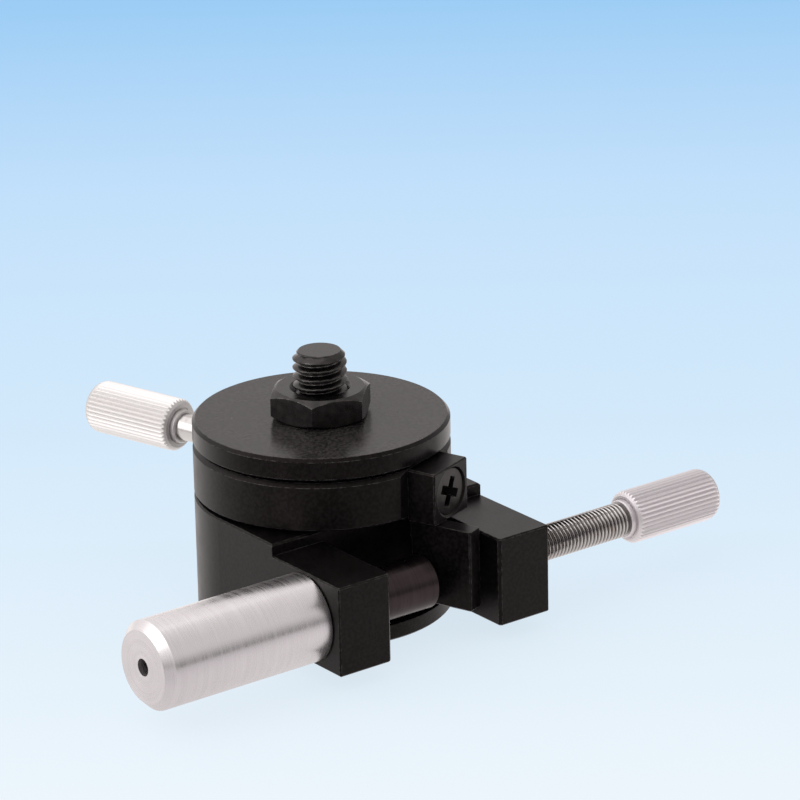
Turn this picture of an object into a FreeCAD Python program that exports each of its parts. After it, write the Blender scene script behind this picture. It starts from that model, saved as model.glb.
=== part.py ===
import FreeCAD, Part
import math
import os
from FreeCAD import Placement, Rotation, Vector

# Small rotation mount: a Φ28 rotary table that is clamped in a ring, and a fine screw
# that swings the ring on its base against a spring plunger.
# Frame: +Z up along the rotation axis, z = 0 on the underside of the foot, +X from the
# spring barrel towards the fine screw, -Y the side that the two arms reach out on.
# Millimetres. Threads are plain cylinders at their outer diameter, apart from the engaged
# length of the stud, which is at its pitch diameter in the table and in the nut.

# Driving dimensions of the stack, from the bottom up
body_d = 28.0
foot_t = 1.8
base_h = 11.3
ring_gap = 0.4
ring_h = 5.4
table_gap = 0.35
table_t = 2.45

# Fits
running_gap = 0.03
screw_gap = 0.05
seat_gap = 0.02
contact_gap = 0.06
clearance_gap = 0.1
cutter_overrun = 1.0

# Base body and its two arms
arm_root_y = -9.9
arm_reach = 11.8
arm_h = 10.0
arm_slot_w = 14.5
arm_slot_edge = 0.3
cavity_d = 19.0
cavity_h = 6.2
edge_break = 0.15
rim_chamfer = 0.2

# Foot plate
boss_d = 12.0
boss_h = 2.9
mount_thread_d = 6.0
foot_screw_d = 2.0
foot_screw_head_d = 3.8
foot_screw_length = 5.5
foot_screw_pcd = 23.0
foot_screw_count = 3
foot_cross_w = 0.4
foot_cross_depth = 0.6

# Clamp ring
ring_flat_y = -13.2
ring_top_chamfer = 0.45

# Rotary table with its spindle
table_chamfer = 0.35
collar_d = 14.0
journal_d = 12.0
shoulder_lift = 0.2
spindle_tail = 0.9
stud_d = 6.0
stud_pitch_d = 5.35
stud_length = 16.0
stud_proud = 7.35
stud_chamfer = 0.65
stud_free_gap = 0.15
nut_af = 10.0
nut_h = 3.2
nut_sides = 6
nut_angle = 44.4
nut_face_d = 9.5
nut_chamfer_angle = 30.0
nut_countersink_d = 6.7

# Retaining stack under the base's bearing web, and the two thrust washers
groove_depth = 0.25
retaining_ring_t = 1.0
retaining_ring_w = 1.5
retaining_ring_opening = 44.0
ring_eye_d = 2.4
ring_eye_hole_d = 1.1
disc_spring_t = 0.3
disc_spring_cone = 0.25
disc_spring_w = 2.6
journal_washer_t = 0.5
journal_washer_w = 2.4
thrust_washer_t = 0.35
table_washer_t = 0.3
washer_outer_d = 21.0
washer_gap = 0.3

# Lever on the flat of the clamp ring
rest_swing = 19.7
lug_w = 6.5
lug_proud = 3.4
lug_h = 5.9
lug_top_drop = 0.05
plate_t = 2.0
plate_inset = 0.4
plate_reach = 7.5
plate_drop = 9.1
lever_screw_d = 3.0
lever_screw_head_d = 5.5
lever_screw_length = 8.0
lever_cross_w = 0.75
lever_cross_depth = 0.9
cross_span_ratio = 1.08
screw_tip_chamfer = 0.3
hole_run_out = 0.5

# Spring barrel, plunger and return spring
barrel_d = 9.7
barrel_length = 20.7
barrel_chamfer = 0.9
barrel_end_wall = 1.2
barrel_vent_d = 1.9
spigot_d = 8.0
spigot_inset = 0.6
plunger_d = 5.9
plunger_length = 18.5
plunger_dome_r = 8.0
plunger_edge = 0.15
plunger_bore_depth = 9.0
spring_d = 4.4
spring_wire_d = 0.5
spring_turns = 10
spring_wire_sides = 8

# Fine screw
fine_screw_d = 3.9
fine_nose_chamfer = 0.4
ball_d = 2.5
socket_wrap = 0.35
fine_knob_x = 29.5
knob_d = 5.9
knob_length = 12.0
knob_round = 1.2
knob_edge = 0.45
knob_hub_d = 4.3
knob_hub_length = 0.6
knob_shank_d = 3.0
knob_shank_length = 7.0
knob_bore_run_out = 0.3

# Lock screw in the clamp ring
lock_angle = 106.1
lock_screw_d = 3.0
lock_knob_r = 19.84
lock_pad_d = 2.6
lock_pad_length = 2.0
lock_pad_gap = 0.25

# Levels and places that follow from them
body_r = body_d / 2
base_top = foot_t + base_h
arm_top = foot_t + arm_h
ring_bottom = base_top + ring_gap
ring_top = ring_bottom + ring_h
table_bottom = ring_top + table_gap
table_top = table_bottom + table_t
arm_end_y = arm_root_y - arm_reach
slot_x = arm_slot_w / 2
screw_y = (arm_root_y + arm_end_y) / 2
screw_z = foot_t + arm_h / 2
web_bottom = foot_t + cavity_h
lug_face_y = ring_flat_y - lug_proud
lug_top = ring_top - lug_top_drop
lug_bottom = lug_top - lug_h
lever_screw_z = (lug_top + lug_bottom) / 2
plate_left = -lug_w / 2 + plate_inset
plate_right = plate_left + plate_t
lock_z = (ring_bottom + ring_top) / 2

X = Vector(1, 0, 0)
Y = Vector(0, 1, 0)
Z = Vector(0, 0, 1)


def turned(outline, start=Vector(0, 0, 0), direction=Z):
    """Solid of revolution: outline holds (radius, distance along direction) points."""
    points = [Vector(radius, 0, distance) for radius, distance in outline]
    face = Part.Face(Part.makePolygon(points + points[:1]))
    solid = face.revolve(Vector(0, 0, 0), Z, 360)
    solid.Placement = Placement(start, Rotation(Z, direction))
    return solid


def rod(diameter, start, end):
    """Cylinder between two points."""
    return Part.makeCylinder(diameter / 2, (end - start).Length, start, end - start)


def box(low, high):
    """Block between two opposite corners."""
    size = Vector(*high) - Vector(*low)
    return Part.makeBox(size.x, size.y, size.z, Vector(*low))


def washer(inner_d, outer_d, z, thickness):
    """Flat washer on the rotation axis, its underside at z."""
    ring = rod(outer_d, Vector(0, 0, z), Vector(0, 0, z + thickness))
    low = Vector(0, 0, z - cutter_overrun)
    return ring.cut(rod(inner_d, low, Vector(0, 0, z + thickness + cutter_overrun)))


def swung(shape):
    """Turn a piece from the lever's own frame, lever along -Y, to where the lever rests."""
    shape.rotate(Vector(0, 0, 0), Z, rest_swing)
    return shape


def countersunk_cutter(hole_d, head_d, depth, top, direction):
    """Hole with a 90 degree countersink, its mouth at top, running along direction."""
    sink = (head_d - hole_d) / 2
    outline = [(0, -cutter_overrun), (head_d / 2, -cutter_overrun), (head_d / 2, 0), (hole_d / 2, sink),
               (hole_d / 2, depth), (0, depth)]
    return turned(outline, top, direction)


def countersunk_screw(shank_d, head_d, length, recess_w, recess_depth, top, direction):
    """Countersunk screw with a cross recess, its head's face at top, pointing along direction."""
    sink = (head_d - shank_d) / 2
    tip_r = shank_d / 2 - screw_tip_chamfer
    outline = [(0, 0), (head_d / 2, 0), (shank_d / 2, sink), (shank_d / 2, length - screw_tip_chamfer),
               (tip_r, length), (0, length)]
    screw = turned(outline)
    reach = shank_d / 2 * cross_span_ratio
    for angle in (45, 135):
        slot = box((-reach, -recess_w / 2, -cutter_overrun), (reach, recess_w / 2, recess_depth))
        slot.rotate(Vector(0, 0, 0), Z, angle)
        screw = screw.cut(slot)
    screw.Placement = Placement(top, Rotation(Z, direction))
    return screw


def foot_screw_tops():
    """Centres of the foot screws' heads, on the foot's underside."""
    radius = foot_screw_pcd / 2
    turns = [math.radians(90 + 360 * i / foot_screw_count) for i in range(foot_screw_count)]
    return [Vector(radius * math.cos(turn), radius * math.sin(turn), seat_gap) for turn in turns]


def make_arm(side):
    """Square arm of the base, left or right of the slot, its edge at the slot's mouth broken wider."""
    inner_x = side * slot_x
    outer_x = side * body_r
    corners = [(inner_x, arm_root_y), (inner_x, arm_end_y + arm_slot_edge),
               (inner_x + side * arm_slot_edge, arm_end_y), (outer_x, arm_end_y), (outer_x, arm_root_y)]
    outline = [Vector(x, y, foot_t) for x, y in corners]
    arm = Part.Face(Part.makePolygon(outline + outline[:1])).extrude(Vector(0, 0, arm_h))
    free = [edge for edge in arm.Edges if not all(abs(v.Y - arm_root_y) < 1e-6 for v in edge.Vertexes)]
    level = [edge for edge in free if edge.BoundBox.ZLength < edge_break]
    corner = [edge for edge in free if all(abs(v.X - outer_x) < 1e-6 for v in edge.Vertexes)]
    upright = [edge for edge in corner if edge.BoundBox.ZLength > edge_break]
    return arm.makeChamfer(edge_break, level + upright)


def make_base_body():
    """Round base with two square arms, a journal bore and a cavity for the retaining stack."""
    block = rod(body_d, Vector(0, 0, foot_t), Vector(0, 0, base_top))
    block = block.fuse(box((-body_r, arm_root_y, foot_t), (body_r, 0, base_top)))
    block = block.cut(box((-body_d, -body_d, 0), (body_d, arm_root_y, base_top + cutter_overrun)))
    block = block.removeSplitter()
    rim = [edge for edge in block.Edges if all(abs(v.Z - base_top) < 1e-6 for v in edge.Vertexes)]
    block = block.makeChamfer(rim_chamfer, rim)
    for side in (-1, 1):
        block = block.fuse(make_arm(side))
    axis_end = Vector(0, 0, base_top + cutter_overrun)
    block = block.cut(rod(journal_d + 2 * running_gap, Vector(0, 0, foot_t), axis_end))
    block = block.cut(rod(cavity_d, Vector(0, 0, foot_t - cutter_overrun), Vector(0, 0, web_bottom)))
    for side, hole_d in ((-1, spigot_d + 2 * seat_gap), (1, fine_screw_d + 2 * screw_gap)):
        inner = Vector(side * (slot_x - cutter_overrun), screw_y, screw_z)
        outer = Vector(side * (body_r + cutter_overrun), screw_y, screw_z)
        block = block.cut(rod(hole_d, inner, outer))
    for top in foot_screw_tops():
        mouth = Vector(top.x, top.y, foot_t - cutter_overrun)
        end = Vector(top.x, top.y, foot_screw_length + hole_run_out)
        block = block.cut(rod(foot_screw_d + 2 * seat_gap, mouth, end))
    return block.removeSplitter()


def make_foot_plate():
    """Foot disc with a threaded boss that centres it in the base's cavity."""
    outer = body_r - rim_chamfer
    outline = [(0, 0), (outer, 0), (body_r, rim_chamfer), (body_r, foot_t), (boss_d / 2, foot_t),
               (boss_d / 2, foot_t + boss_h), (0, foot_t + boss_h)]
    foot = turned(outline)
    bore_d = mount_thread_d + 2 * screw_gap
    bore_end = Vector(0, 0, foot_t + boss_h + cutter_overrun)
    foot = foot.cut(rod(bore_d, Vector(0, 0, -cutter_overrun), bore_end))
    for top in foot_screw_tops():
        mouth = Vector(top.x, top.y, 0)
        head_d = foot_screw_head_d + 2 * screw_gap
        hole_d = foot_screw_d + 2 * clearance_gap
        foot = foot.cut(countersunk_cutter(hole_d, head_d, foot_t + cutter_overrun, mouth, Z))
    return foot


def make_foot_screws():
    """Three countersunk screws up through the foot into the base."""
    screws = [countersunk_screw(foot_screw_d, foot_screw_head_d, foot_screw_length, foot_cross_w,
                                foot_cross_depth, top, Z) for top in foot_screw_tops()]
    return Part.makeCompound(screws)


def make_clamp_ring():
    """Ring between base and table, with a milled flat for the lever and a lock screw hole."""
    bore_r = collar_d / 2 + running_gap
    outline = [(bore_r, ring_bottom), (body_r - rim_chamfer, ring_bottom), (body_r, ring_bottom + rim_chamfer),
               (body_r, ring_top - ring_top_chamfer), (body_r - ring_top_chamfer, ring_top), (bore_r, ring_top)]
    ring = turned(outline)
    low = (-body_r, -body_d, ring_bottom - cutter_overrun)
    ring = ring.cut(box(low, (body_r, ring_flat_y, ring_top + cutter_overrun)))
    hole_mouth = Vector(0, ring_flat_y - cutter_overrun, lever_screw_z)
    hole_end = Vector(0, lug_face_y + lever_screw_length + hole_run_out, lever_screw_z)
    ring = swung(ring.cut(rod(lever_screw_d + 2 * seat_gap, hole_mouth, hole_end)))
    inside = lock_point(collar_d / 2 - cutter_overrun)
    return ring.cut(rod(lock_screw_d + 2 * screw_gap, inside, lock_point(body_r + cutter_overrun)))


def make_lever():
    """Lug on the ring's flat, with the plate that hangs between the two arms."""
    lug = box((-lug_w / 2, lug_face_y, lug_bottom), (lug_w / 2, ring_flat_y, lug_top))
    lug = lug.makeChamfer(edge_break, [edge for edge in lug.Edges
                                       if not all(abs(v.Y - ring_flat_y) < 1e-6 for v in edge.Vertexes)])
    plate_end = ring_flat_y - plate_reach
    plate = box((plate_left, plate_end, lug_bottom - plate_drop), (plate_right, ring_flat_y, lug_bottom))
    free = [edge for edge in plate.Edges if min(v.Z for v in edge.Vertexes) < lug_bottom - edge_break]
    plate = plate.makeChamfer(edge_break, free)
    low = (plate_left, lug_face_y + edge_break, lug_bottom - plate_t)
    root = box(low, (plate_right, ring_flat_y, lug_bottom + plate_t))
    lever = lug.fuse([plate, root])
    mouth = Vector(0, lug_face_y, lever_screw_z)
    head_d = lever_screw_head_d + 2 * screw_gap
    hole_d = lever_screw_d + 2 * clearance_gap
    lever = lever.cut(countersunk_cutter(hole_d, head_d, lug_proud + cutter_overrun, mouth, Y))
    return swung(lever.removeSplitter())


def make_lever_screw():
    """Countersunk cross recess screw through the lug into the ring."""
    top = Vector(0, lug_face_y + seat_gap, lever_screw_z)
    screw = countersunk_screw(lever_screw_d, lever_screw_head_d, lever_screw_length, lever_cross_w,
                              lever_cross_depth, top, Y)
    return swung(screw)


def make_table():
    """Rotary table: top disc, the collar that the ring clamps, and the journal in the base."""
    collar_r = collar_d / 2
    journal_r = journal_d / 2
    groove_r = journal_r - groove_depth
    shoulder = base_top + shoulder_lift
    ring_z = retaining_ring_z()
    groove_low = ring_z - seat_gap
    groove_high = ring_z + retaining_ring_t + seat_gap
    tail = ring_z - spindle_tail
    outline = [(0, tail), (journal_r - rim_chamfer, tail), (journal_r, tail + rim_chamfer),
               (journal_r, groove_low), (groove_r, groove_low), (groove_r, groove_high), (journal_r, groove_high),
               (journal_r, shoulder), (collar_r, shoulder), (collar_r, table_bottom),
               (body_r - edge_break, table_bottom), (body_r, table_bottom + edge_break),
               (body_r, table_top - table_chamfer), (body_r - table_chamfer, table_top), (0, table_top)]
    hole_end = Vector(0, 0, table_top + stud_proud - stud_length - hole_run_out)
    hole_mouth = Vector(0, 0, table_top + cutter_overrun)
    return turned(outline).cut(rod(stud_pitch_d + 2 * seat_gap, hole_end, hole_mouth))


def make_stud():
    """Threaded stud in the table, chamfered at both ends, its free length over the nut."""
    top = table_top + stud_proud
    bottom = top - stud_length
    free_bottom = table_top + seat_gap + nut_h + stud_free_gap
    crest_r = stud_d / 2
    pitch_r = stud_pitch_d / 2
    tip_r = crest_r - stud_chamfer
    outline = [(0, bottom), (tip_r, bottom), (pitch_r, bottom + pitch_r - tip_r), (pitch_r, free_bottom),
               (crest_r, free_bottom), (crest_r, top - stud_chamfer), (tip_r, top), (0, top)]
    return turned(outline)


def make_jam_nut():
    """Thin hexagon nut on the stud, its corners turned off at both faces."""
    corner_r = nut_af / 2 / math.cos(math.pi / nut_sides)
    low = table_top + seat_gap
    high = low + nut_h
    turns = [math.radians(nut_angle + 360 * i / nut_sides) for i in range(nut_sides + 1)]
    corners = [Vector(corner_r * math.cos(turn), corner_r * math.sin(turn), low) for turn in turns]
    prism = Part.Face(Part.makePolygon(corners)).extrude(Vector(0, 0, nut_h))
    face_r = nut_face_d / 2
    blank_r = corner_r + clearance_gap
    rise = (blank_r - face_r) * math.tan(math.radians(nut_chamfer_angle))
    blank = turned([(0, low), (face_r, low), (blank_r, low + rise), (blank_r, high - rise), (face_r, high),
                    (0, high)])
    bore_r = stud_pitch_d / 2 + screw_gap
    sink_r = nut_countersink_d / 2
    sink = sink_r - bore_r
    below = low - cutter_overrun
    above = high + cutter_overrun
    bore = turned([(0, below), (sink_r, below), (sink_r, low), (bore_r, low + sink), (bore_r, high - sink),
                   (sink_r, high), (sink_r, above), (0, above)])
    return prism.common(blank).cut(bore)


def retaining_ring_z():
    """Underside of the retaining ring, below the washer and the disc spring."""
    stack = running_gap + journal_washer_t + seat_gap + disc_spring_t + disc_spring_cone + seat_gap
    return web_bottom - stack - retaining_ring_t


def make_retaining_ring():
    """External retaining ring in the spindle's groove, with two eyes at its opening."""
    low = retaining_ring_z()
    inner_r = journal_d / 2 - groove_depth + seat_gap
    outer_r = inner_r + retaining_ring_w
    ring = washer(2 * inner_r, 2 * outer_r, low, retaining_ring_t)
    half = math.radians(retaining_ring_opening / 2)
    reach_x = 2 * outer_r * math.sin(half)
    reach_y = -2 * outer_r * math.cos(half)
    wedge = Part.makePolygon([Vector(0, 0, 0), Vector(reach_x, reach_y, 0), Vector(-reach_x, reach_y, 0),
                              Vector(0, 0, 0)])
    opening = Part.Face(wedge).extrude(Vector(0, 0, low + retaining_ring_t + cutter_overrun))
    ring = ring.cut(opening)
    eye_r = inner_r + ring_eye_d / 2 + seat_gap
    for side in (-1, 1):
        turn = side * (half + ring_eye_d / 2 / eye_r)
        centre = Vector(eye_r * math.sin(turn), -eye_r * math.cos(turn), low)
        top = centre + Z * retaining_ring_t
        ring = ring.fuse(rod(ring_eye_d, centre, top))
        ring = ring.cut(rod(ring_eye_hole_d, centre - Z * cutter_overrun, top + Z * cutter_overrun))
    return ring.removeSplitter()


def make_disc_spring():
    """Coned disc spring on the retaining ring, which takes up the end play."""
    inner_r = journal_d / 2 + screw_gap
    outer_r = inner_r + disc_spring_w
    low = retaining_ring_z() + retaining_ring_t + seat_gap
    return turned([(inner_r, low), (outer_r, low + disc_spring_cone),
                   (outer_r, low + disc_spring_cone + disc_spring_t), (inner_r, low + disc_spring_t)])


def make_journal_washer():
    """Flat washer between the disc spring and the base's bearing web."""
    inner_d = journal_d + 2 * screw_gap
    z = web_bottom - running_gap - journal_washer_t
    return washer(inner_d, inner_d + 2 * journal_washer_w, z, journal_washer_t)


def make_thrust_washer():
    """Plastic washer on the base, under the clamp ring."""
    return washer(collar_d + 2 * washer_gap, washer_outer_d, base_top, thrust_washer_t)


def make_table_washer():
    """Plastic washer on the clamp ring, under the table."""
    return washer(collar_d + 2 * washer_gap, washer_outer_d, ring_top, table_washer_t)


def rest_contact_x(face_x, tip_r):
    """Centre x of a round tip on the screw axis that just clears a plate face at rest.

    face_x is the face in the lever's frame and tip_r the tip's radius, negative for a tip
    that comes from the plate's left."""
    swing = math.radians(rest_swing)
    gap = math.copysign(contact_gap, tip_r)
    return (face_x + tip_r + gap - screw_y * math.sin(swing)) / math.cos(swing)


def make_spring_barrel():
    """Turned barrel on the left arm, closed but for a vent, with a threaded spigot."""
    barrel_end = -body_r - barrel_length
    spigot_end = -slot_x - spigot_inset
    start = Vector(barrel_end, screw_y, screw_z)
    outer_r = barrel_d / 2
    spigot_length = spigot_end - barrel_end
    outline = [(0, 0), (outer_r - barrel_chamfer, 0), (outer_r, barrel_chamfer),
               (outer_r, barrel_length - edge_break), (outer_r - edge_break, barrel_length),
               (spigot_d / 2, barrel_length), (spigot_d / 2, spigot_length), (0, spigot_length)]
    barrel = turned(outline, start, X)
    bore_start = start + Vector(barrel_end_wall, 0, 0)
    bore_end = Vector(spigot_end + cutter_overrun, screw_y, screw_z)
    barrel = barrel.cut(rod(plunger_d + 2 * screw_gap, bore_start, bore_end))
    return barrel.cut(rod(barrel_vent_d, start - X * cutter_overrun, bore_start + X * cutter_overrun))


def plunger_nose_x():
    """Tip of the plunger's dome at rest, against the plate's left face."""
    return rest_contact_x(plate_left, -plunger_dome_r) + plunger_dome_r


def make_plunger():
    """Domed plunger, bored from behind for the return spring."""
    nose = plunger_nose_x()
    radius = plunger_d / 2
    rear = nose - plunger_length
    start = Vector(rear, screw_y, screw_z)
    body = turned([(0, 0), (radius - edge_break, 0), (radius, edge_break), (radius, plunger_length),
                   (0, plunger_length)], start, X)
    dome = Part.makeSphere(plunger_dome_r, Vector(nose - plunger_dome_r, screw_y, screw_z))
    rear_half = rod(2 * plunger_dome_r, start - X * cutter_overrun,
                    Vector(nose - plunger_dome_r, screw_y, screw_z))
    body = body.common(dome.fuse(rear_half))
    rim = [edge for edge in body.Edges if edge.BoundBox.XMin > rear + plunger_bore_depth
           and edge.BoundBox.XLength < edge_break]
    body = body.makeChamfer(plunger_edge, rim)
    bore_d = spring_d + 2 * clearance_gap
    return body.cut(rod(bore_d, start - X * cutter_overrun, start + X * plunger_bore_depth))


def make_return_spring():
    """Coil spring between the barrel's end wall and the bottom of the plunger's bore."""
    start_x = -body_r - barrel_length + barrel_end_wall + spring_wire_d / 2 + seat_gap
    end_x = plunger_nose_x() - plunger_length + plunger_bore_depth - spring_wire_d / 2 - seat_gap
    height = end_x - start_x
    coil_r = (spring_d - spring_wire_d) / 2
    helix = Part.makeHelix(height / spring_turns, height, coil_r)
    turns = [math.radians(360 * i / spring_wire_sides) for i in range(spring_wire_sides + 1)]
    wire_r = spring_wire_d / 2
    section = Part.makePolygon([Vector(coil_r + wire_r * math.cos(turn), 0, wire_r * math.sin(turn))
                                for turn in turns])
    coil = Part.Wire(helix.Edges).makePipeShell([section], True, True)
    coil.Placement = Placement(Vector(start_x, screw_y, screw_z), Rotation(Z, X))
    return coil


def ball_centre():
    """Centre of the fine screw's ball at rest, against the plate's right face."""
    return Vector(rest_contact_x(plate_right, ball_d / 2), screw_y, screw_z)


def make_fine_ball():
    """Steel ball in the nose of the fine screw, which bears on the lever's plate."""
    return Part.makeSphere(ball_d / 2, ball_centre())


def make_fine_screw():
    """Fine thread screw through the right arm, with a ball socket and a shank for its knob."""
    centre = ball_centre()
    nose_x = centre.x - socket_wrap
    thread_length = fine_knob_x - knob_hub_length - nose_x
    total = thread_length + knob_shank_length
    radius = fine_screw_d / 2
    outline = [(0, 0), (radius - fine_nose_chamfer, 0), (radius, fine_nose_chamfer), (radius, thread_length),
               (knob_shank_d / 2, thread_length), (knob_shank_d / 2, total), (0, total)]
    screw = turned(outline, Vector(nose_x, screw_y, screw_z), X)
    return screw.cut(Part.makeSphere(ball_d / 2 + seat_gap, centre))


def make_knob(start, direction):
    """Knob with a low hub on its inner face, a blind bore and a well rounded outer end."""
    radius = knob_d / 2
    hub_r = knob_hub_d / 2
    shank_r = knob_shank_d / 2 + seat_gap
    bore_depth = knob_shank_length - knob_hub_length + knob_bore_run_out
    outline = [(shank_r, -knob_hub_length), (hub_r - edge_break, -knob_hub_length),
               (hub_r, edge_break - knob_hub_length), (hub_r, 0), (radius - knob_edge, 0), (radius, knob_edge),
               (radius, knob_length), (0, knob_length), (0, bore_depth), (shank_r, bore_depth)]
    knob = turned(outline)
    end = [edge for edge in knob.Edges if abs(edge.BoundBox.ZMin - knob_length) < 1e-6
           and edge.BoundBox.XLength > radius]
    knob = knob.makeFillet(knob_round, end)
    knob.Placement = Placement(start, Rotation(Z, direction))
    return knob


def make_fine_knob():
    """Knob of the fine screw."""
    return make_knob(Vector(fine_knob_x, screw_y, screw_z), X)


def lock_direction():
    """Direction that the lock screw points outwards in."""
    turn = math.radians(lock_angle)
    return Vector(math.cos(turn), math.sin(turn), 0)


def lock_point(distance):
    """Point on the lock screw's axis, at a distance from the rotation axis."""
    return lock_direction() * distance + Vector(0, 0, lock_z)


def make_lock_pad():
    """Soft pad between the lock screw and the table's collar."""
    inner = collar_d / 2 + lock_pad_gap
    return rod(lock_pad_d, lock_point(inner), lock_point(inner + lock_pad_length))


def make_lock_screw():
    """Headless screw that presses the pad, glued into the lock knob."""
    start = collar_d / 2 + lock_pad_gap + lock_pad_length + seat_gap
    length = lock_knob_r - knob_hub_length + knob_shank_length - start
    radius = lock_screw_d / 2
    outline = [(0, 0), (radius - screw_tip_chamfer, 0), (radius, screw_tip_chamfer), (radius, length),
               (0, length)]
    return turned(outline, lock_point(start), lock_direction())


def make_lock_knob():
    """Knob of the lock screw."""
    return make_knob(lock_point(lock_knob_r), lock_direction())


PIECES = {
    "base_body": make_base_body,
    "foot_plate": make_foot_plate,
    "foot_screws": make_foot_screws,
    "thrust_washer": make_thrust_washer,
    "clamp_ring": make_clamp_ring,
    "lever": make_lever,
    "lever_screw": make_lever_screw,
    "table_washer": make_table_washer,
    "rotary_table": make_table,
    "stud": make_stud,
    "jam_nut": make_jam_nut,
    "retaining_ring": make_retaining_ring,
    "disc_spring": make_disc_spring,
    "journal_washer": make_journal_washer,
    "spring_barrel": make_spring_barrel,
    "plunger": make_plunger,
    "return_spring": make_return_spring,
    "fine_ball": make_fine_ball,
    "fine_screw": make_fine_screw,
    "fine_knob": make_fine_knob,
    "lock_pad": make_lock_pad,
    "lock_screw": make_lock_screw,
    "lock_knob": make_lock_knob,
}

os.makedirs("parts", exist_ok=True)
for name, make in PIECES.items():
    shape = make()
    shape.exportStep(os.path.join("parts", name + ".step"))
    print(name, len(shape.Solids), round(shape.Volume, 2), shape.isValid())
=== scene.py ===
# Looks of the small rotation mount: black anodised turned and milled parts, a bright spring
# barrel, two knurled knobs and a black threaded stud. Everything is built in metres, in the
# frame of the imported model: +Z up along the rotation axis, z = 0 under the foot. Only the
# outlines of turned pieces and the sizes of screws are written in millimetres.
import math

import bmesh
import bpy
from mathutils import Matrix, Vector


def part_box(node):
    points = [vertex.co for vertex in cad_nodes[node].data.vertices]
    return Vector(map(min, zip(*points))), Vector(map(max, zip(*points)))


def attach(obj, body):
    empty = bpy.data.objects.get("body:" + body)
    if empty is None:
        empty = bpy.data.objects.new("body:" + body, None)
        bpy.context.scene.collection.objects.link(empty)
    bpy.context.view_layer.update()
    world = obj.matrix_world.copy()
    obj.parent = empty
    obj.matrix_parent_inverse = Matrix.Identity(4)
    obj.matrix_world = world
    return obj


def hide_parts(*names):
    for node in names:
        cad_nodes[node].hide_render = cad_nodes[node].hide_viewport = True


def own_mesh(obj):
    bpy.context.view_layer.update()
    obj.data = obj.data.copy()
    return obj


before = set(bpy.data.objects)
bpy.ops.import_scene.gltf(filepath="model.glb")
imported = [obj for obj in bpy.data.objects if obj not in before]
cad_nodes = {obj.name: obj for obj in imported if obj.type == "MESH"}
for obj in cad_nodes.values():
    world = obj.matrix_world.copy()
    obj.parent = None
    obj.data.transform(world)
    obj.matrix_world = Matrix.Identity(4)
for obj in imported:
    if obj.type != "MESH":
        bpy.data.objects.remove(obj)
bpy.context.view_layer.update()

# The camera stands half a metre off with a long lens, to the left of the two arms and a
# little above them, as in the picture.
mm = 0.001
camera_azimuth = math.radians(-36.84)
camera_elevation = math.radians(20.22)
camera_roll = math.radians(-1.19)
camera_distance = 494.2 * mm
camera_right = 8.58 * mm
camera_up = 12.28 * mm
aim_height = 10 * mm

sideways = Vector((math.cos(camera_azimuth), math.sin(camera_azimuth), 0))
backwards = Vector((math.sin(camera_azimuth) * math.cos(camera_elevation),
                    -math.cos(camera_azimuth) * math.cos(camera_elevation), math.sin(camera_elevation)))
upwards = backwards.cross(sideways)
rolled_right = sideways * math.cos(camera_roll) + upwards * math.sin(camera_roll)
rolled_up = upwards * math.cos(camera_roll) - sideways * math.sin(camera_roll)
camera_spot = backwards * camera_distance + sideways * camera_right + upwards * camera_up
camera_spot.z += aim_height

long_lens = bpy.data.cameras.new("camera")
long_lens.lens = 203.9
long_lens.sensor_width = 36
long_lens.clip_start = 0.05
long_lens.clip_end = 20
camera = bpy.data.objects.new("camera", long_lens)
camera.matrix_world = (Matrix.Translation(camera_spot)
                       @ Matrix((rolled_right, rolled_up, backwards)).transposed().to_4x4())
bpy.context.scene.collection.objects.link(camera)
bpy.context.scene.camera = camera
bpy.context.scene.view_settings.view_transform = "Standard"


# The floor is a sheet of pale blue paper, nearly white at the front and bluer towards the
# back. It keeps a faint shadow and is clear from underneath. The metal mirrors it as nearly
# neutral paper, with painted shade in front of the mount and brighter paper behind it.
def add_node(tree, kind, inputs=None, **settings):
    """New node in a tree, with its inputs given as values or as the outputs that feed them."""
    node = tree.nodes.new(kind)
    for key, value in settings.items():
        setattr(node, key, value)
    for key, value in (inputs or {}).items():
        if isinstance(value, bpy.types.NodeSocket):
            tree.links.new(value, node.inputs[key])
        else:
            node.inputs[key].default_value = value
    return node


def reckon(tree, operation, first, second=0.0, third=0.0):
    """Output of a Math node."""
    return add_node(tree, "ShaderNodeMath", {0: first, 1: second, 2: third}, operation=operation).outputs[0]


def reckon_vectors(tree, operation, first, second=(0, 0, 0)):
    """Output of a Vector Math node: a number for a dot product or a length, else a vector."""
    node = add_node(tree, "ShaderNodeVectorMath", {0: first, 1: second}, operation=operation)
    return node.outputs["Value" if operation in ("DOT_PRODUCT", "LENGTH") else "Vector"]


def stretch(tree, value, low, high, out_low=0.0, out_high=1.0, curve="LINEAR"):
    """Value spread from low..high to out_low..out_high, and held there."""
    return add_node(tree, "ShaderNodeMapRange", {"Value": value, "From Min": low, "From Max": high,
                                                 "To Min": out_low, "To Max": out_high},
                    interpolation_type=curve).outputs["Result"]


def blend_colours(tree, share, first, second):
    """Colour between two colours."""
    mix = add_node(tree, "ShaderNodeMix", {"Factor": share}, data_type="RGBA")
    for socket, colour in ((mix.inputs[6], first), (mix.inputs[7], second)):
        if isinstance(colour, bpy.types.NodeSocket):
            tree.links.new(colour, socket)
        else:
            socket.default_value = (*colour, 1)
    return mix.outputs[2]


paper_front = -0.05
paper_back = 0.25
paper_tones = [(0.0, (0.85, 0.93, 0.99)), (0.35, (0.66, 0.83, 0.98)), (0.66, (0.55, 0.76, 0.98)),
               (1.0, (0.34, 0.62, 0.93))]
paper_glow = 0.86
paper_mirror_glow = 0.85
near_mirror = -0.055
far_mirror = 0.015
near_mirror_painted_shade = (0.56, 0.53, 0.54)
far_mirror_tone = (1.0, 0.965, 0.95)
paper_radius = 3.0
paper_sides = 96
paper_height = -0.02 * mm

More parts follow.
